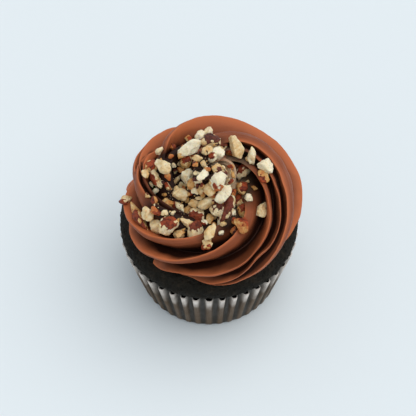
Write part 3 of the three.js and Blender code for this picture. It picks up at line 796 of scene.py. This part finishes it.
def lump(size, cuts, rng, natural=None):
    """A broken piece about the origin: a ball cut by flat facets and pressed in by dents.

    Where natural is given, the side that it points to keeps the round grown surface."""
    directions, faces = BALLS[cuts]
    size = np.array(size) / 2
    inverse_reach = np.full(len(directions), 1.0)
    for i in range(NUT_FACETS):
        up = 1 - 2 * (i + 0.5) / NUT_FACETS
        out = math.sqrt(1 - up * up)
        facet = np.array([out * math.cos(i * GOLDEN_ANGLE), out * math.sin(i * GOLDEN_ANGLE), up])
        facet += NUT_FACET_JITTER * random_direction(rng)
        facet /= np.linalg.norm(facet)
        reach = rng.uniform(*NUT_FACET_REACH)
        if natural is not None and facet.dot(natural) > NUT_GROWN_SIDE:
            continue
        inverse_reach += np.maximum(directions @ facet / reach, 0) ** NUT_EDGE_SHARPNESS
    reach = inverse_reach ** (-1 / NUT_EDGE_SHARPNESS)
    for _ in range(NUT_DENTS):
        away = np.arccos(np.clip(directions @ random_direction(rng), -1, 1))
        depth = rng.uniform(*NUT_DENT_DEPTH)
        reach *= 1 - depth * bell(away, rng.uniform(*NUT_DENT_REACH))
    points = directions * reach[:, None] * size
    shift = Vector([rng.uniform(0, NOISE_SHIFT) for _ in range(3)])
    coarse = np.array([noise.noise(Vector(point) / COARSE_SIZE + shift) for point in points])
    fine = np.array([noise.noise(Vector(point) / FINE_SIZE + shift) for point in points])
    grain = NUT_ROUGHNESS * (COARSE_SHARE * coarse + FINE_SHARE * fine) * min(1, size[1])
    return points + directions * grain[:, None], directions, faces


class Heap:
    """Many small things gathered into one piece."""

    def __init__(self):
        self.points, self.faces, self.tone, self.flow = [], [], [], []

    def add(self, points, faces, tone, flow):
        first = len(self.points)
        self.points += [tuple(point) for point in points]
        self.faces += [tuple(first + i for i in face) for face in faces]
        self.tone += [tone] * len(points)
        self.flow += [tuple(point) for point in flow]

    def build(self, name, material, slot):
        attributes = {"tone": self.tone, "flow": self.flow}
        add_piece(name, self.points, self.faces, material, attributes)


def skin_shell(points, directions, faces, side, rng):
    """The thin brown skin over the part of a piece that faces side: an outer and an inner layer."""
    shift = Vector((rng.uniform(0, NOISE_SHIFT), 0, 0))
    ragged = np.array([noise.noise(Vector(point) / SKIN_PATCH + shift) for point in points])
    covered = directions @ side + SKIN_RAGGED * ragged > SKIN_EDGE
    kept = [face for face in faces if all(covered[i] for i in face)]
    if not kept:
        return [], []
    used = sorted({i for face in kept for i in face})
    order = {old: new for new, old in enumerate(used)}
    rim = {i for face in faces if not all(covered[i] for i in face) for i in face if i in order}
    lift = np.array([SKIN_RIM_THICKNESS if i in rim else SKIN_THICKNESS for i in used])[:, None]
    outer = points[used] + directions[used] * lift
    inner = points[used] - directions[used] * SKIN_SINK
    count = len(used)
    shell = [tuple(order[i] for i in face) for face in kept]
    shell += [tuple(order[i] + count for i in reversed(face)) for face in kept]
    return np.concatenate([outer, inner]), shell


def lay_frame(normal, turn):
    """Directions of a lying piece: along its length, across it, and away from the surface."""
    _, _, right, up = camera_frame()
    along = right * math.cos(math.radians(turn)) + up * math.sin(math.radians(turn))
    along = (along - normal * along.dot(normal)).normalized()
    return np.array([along, normal.cross(along), normal])


def fill_rows(rng):
    """Rows for the smaller pieces, wherever there is room between the listed ones."""
    rows = []
    for i in range(FILL_NUTS):
        share = ((i + 0.5) / FILL_NUTS) ** FILL_THINNING
        x = FILL_MIDDLE[0] + FILL_REACH[0] * share * math.cos(i * GOLDEN_ANGLE)
        y = FILL_MIDDLE[1] + FILL_REACH[1] * share * math.sin(i * GOLDEN_ANGLE)
        length, turn, tone = rng.uniform(*FILL_LENGTH), rng.uniform(0, 180), rng.random() ** FILL_TONE_POWER
        skin = (rng.uniform(0, 360), FILL_SKIN_LEAN_DEG, rng.random())
        if any(math.dist((x, y), row[0]) < FILL_SPACING for row in NUTS):
            continue
        row = ((x, y), length, length * FILL_WIDTH_SHARE, turn, tone)
        rows.append(row + (skin,) if rng.random() < FILL_SKIN_SHARE else row)
    return rows


def lying_on(ground, pixel):
    """Where a pixel of the photograph meets the frosting, the surface's normal, and the line of sight."""
    eye, direction = pixel_ray(pixel)
    hit, normal, _, _ = ground.ray_cast(eye, direction)
    return hit, normal, direction


def make_nuts(ground):
    """The nuts and their skins, as two pieces. Returns the middle of each nut."""
    rng = random.Random(NUT_SEED)
    flesh, skin, places = Heap(), Heap(), []
    _, _, right, up = camera_frame()
    listed = [(row, NUT_CUTS) for row in NUTS]
    for row, cuts in listed + [(row, FILL_CUTS) for row in fill_rows(rng)]:
        pixel, length, width, turn, tone, *skins = row
        hit, normal, direction = lying_on(ground, pixel)
        if hit is None:
            continue
        if normal.dot(direction) > 0:
            normal = -normal
        normal = (normal + Vector((0, 0, NUT_TURN_UP)) - direction * NUT_TURN_TO_VIEW).normalized()
        axes = lay_frame(normal, turn)
        size = np.array([length, width, width * NUT_HEIGHT_SHARE]) * NUT_GROWTH
        side = None
        if skins:
            angle, lean, skin_tone = skins[0]
            flat = right * math.cos(math.radians(angle)) + up * math.sin(math.radians(angle))
            facing = flat * math.cos(math.radians(lean)) - direction * math.sin(math.radians(lean))
            side = axes @ np.array(facing)
        points, directions, faces = lump(size, cuts, rng, side)
        middle = np.array(hit) + axes[2] * size[2] * (0.5 - NUT_SUNK_SHARE)
        tone += rng.uniform(-NUT_TONE_SPREAD, NUT_TONE_SPREAD)
        flesh.add(points @ axes + middle, faces, tone, points * GRAIN_STRETCH + pixel[0])
        if side is not None:
            shell, shell_faces = skin_shell(points, directions, faces, side, rng)
            if len(shell):
                skin.add(shell @ axes + middle, shell_faces, skin_tone, shell * GRAIN_STRETCH + pixel[0])
        places.append(middle)
    flesh.build("pecan_flesh", flesh_finish(), "nut_flesh")
    skin.build("pecan_skin", skin_finish(), "nut_skin")
    return np.array(places)


def shade_under(swirl, places):
    """Marks where the pieces crowd over the frosting, for the painted shade that darkens it between them."""
    mesh = swirl.data
    points = np.empty(len(mesh.vertices) * 3, np.float32)
    mesh.vertices.foreach_get("co", points)
    points = points.reshape(-1, 3) / MM
    crowd = np.zeros(len(points))
    for place in places:
        crowd += bell(np.linalg.norm(points - place, axis=1), CROWD_REACH)
    layer = mesh.attributes.new("crowd", "FLOAT", "POINT")
    layer.data.foreach_set("value", crowd.astype(np.float32))


def make_crumbs(ground, material):
    """The finest crumbs, as one piece, with more small ones than large ones."""
    rng = random.Random(CRUMB_SEED)
    crumbs = Heap()
    for _ in range(CRUMBS):
        (x, y), spread = rng.choice(CRUMB_CENTRES)
        pixel = (rng.gauss(x, spread * CRUMB_SCATTER), rng.gauss(y, spread * CRUMB_SCATTER))
        hit, normal, _ = lying_on(ground, pixel)
        if hit is None:
            continue
        length = CRUMB_SIZES[0] + (CRUMB_SIZES[1] - CRUMB_SIZES[0]) * rng.random() ** CRUMB_RARITY
        points, _, faces = lump([length * share for share in CRUMB_SHAPE], CRUMB_CUTS, rng)
        axes = lay_frame(normal, rng.uniform(0, 360))
        middle = np.array(hit) + axes[2] * length * CRUMB_LIFT_SHARE
        crumbs.add(points @ axes + middle, faces, rng.uniform(*CRUMB_TONES), points)
    crumbs.build("pecan_crumbs", material, "nut_flesh")


# Stage

def add_sun(name, toward, spread_deg, strength, colour):
    """A far soft light that shines from the direction toward."""
    light = bpy.data.lights.new(name, "SUN")
    light.angle = math.radians(spread_deg)
    light.energy = strength
    light.color = colour
    lamp = bpy.data.objects.new(name, light)
    bpy.context.scene.collection.objects.link(lamp)
    lamp.location = Vector(toward)
    lamp.rotation_mode = "QUATERNION"
    lamp.rotation_quaternion = (-Vector(toward)).to_track_quat("-Z", "Y")


def make_stage():
    mesh = bpy.data.meshes.new("floor")
    corners = [(-FLOOR_HALF, -FLOOR_HALF, 0), (FLOOR_HALF, -FLOOR_HALF, 0),
               (FLOOR_HALF, FLOOR_HALF, 0), (-FLOOR_HALF, FLOOR_HALF, 0)]
    mesh.from_pydata(corners, [], [(0, 1, 2, 3)])
    mesh.materials.append(floor_finish())
    floor = bpy.data.objects.new("floor", mesh)
    bpy.context.scene.collection.objects.link(floor)
    world = bpy.data.worlds.new("studio")
    bpy.context.scene.world = world
    world.use_nodes = True
    background = world.node_tree.nodes["Background"]
    background.inputs["Color"].default_value = SKY_COLOUR
    background.inputs["Strength"].default_value = SKY_STRENGTH
    add_sun("window", WINDOW_TOWARD, WINDOW_SPREAD_DEG, WINDOW_STRENGTH, WINDOW_COLOUR)
    bpy.context.scene.view_settings.view_transform = "Standard"


make_camera()
make_stage()
make_case()
make_cake()
swirl, ground = make_frosting()
shade_under(swirl, make_nuts(ground))
make_crumbs(ground, bpy.data.materials["pecan_flesh"])
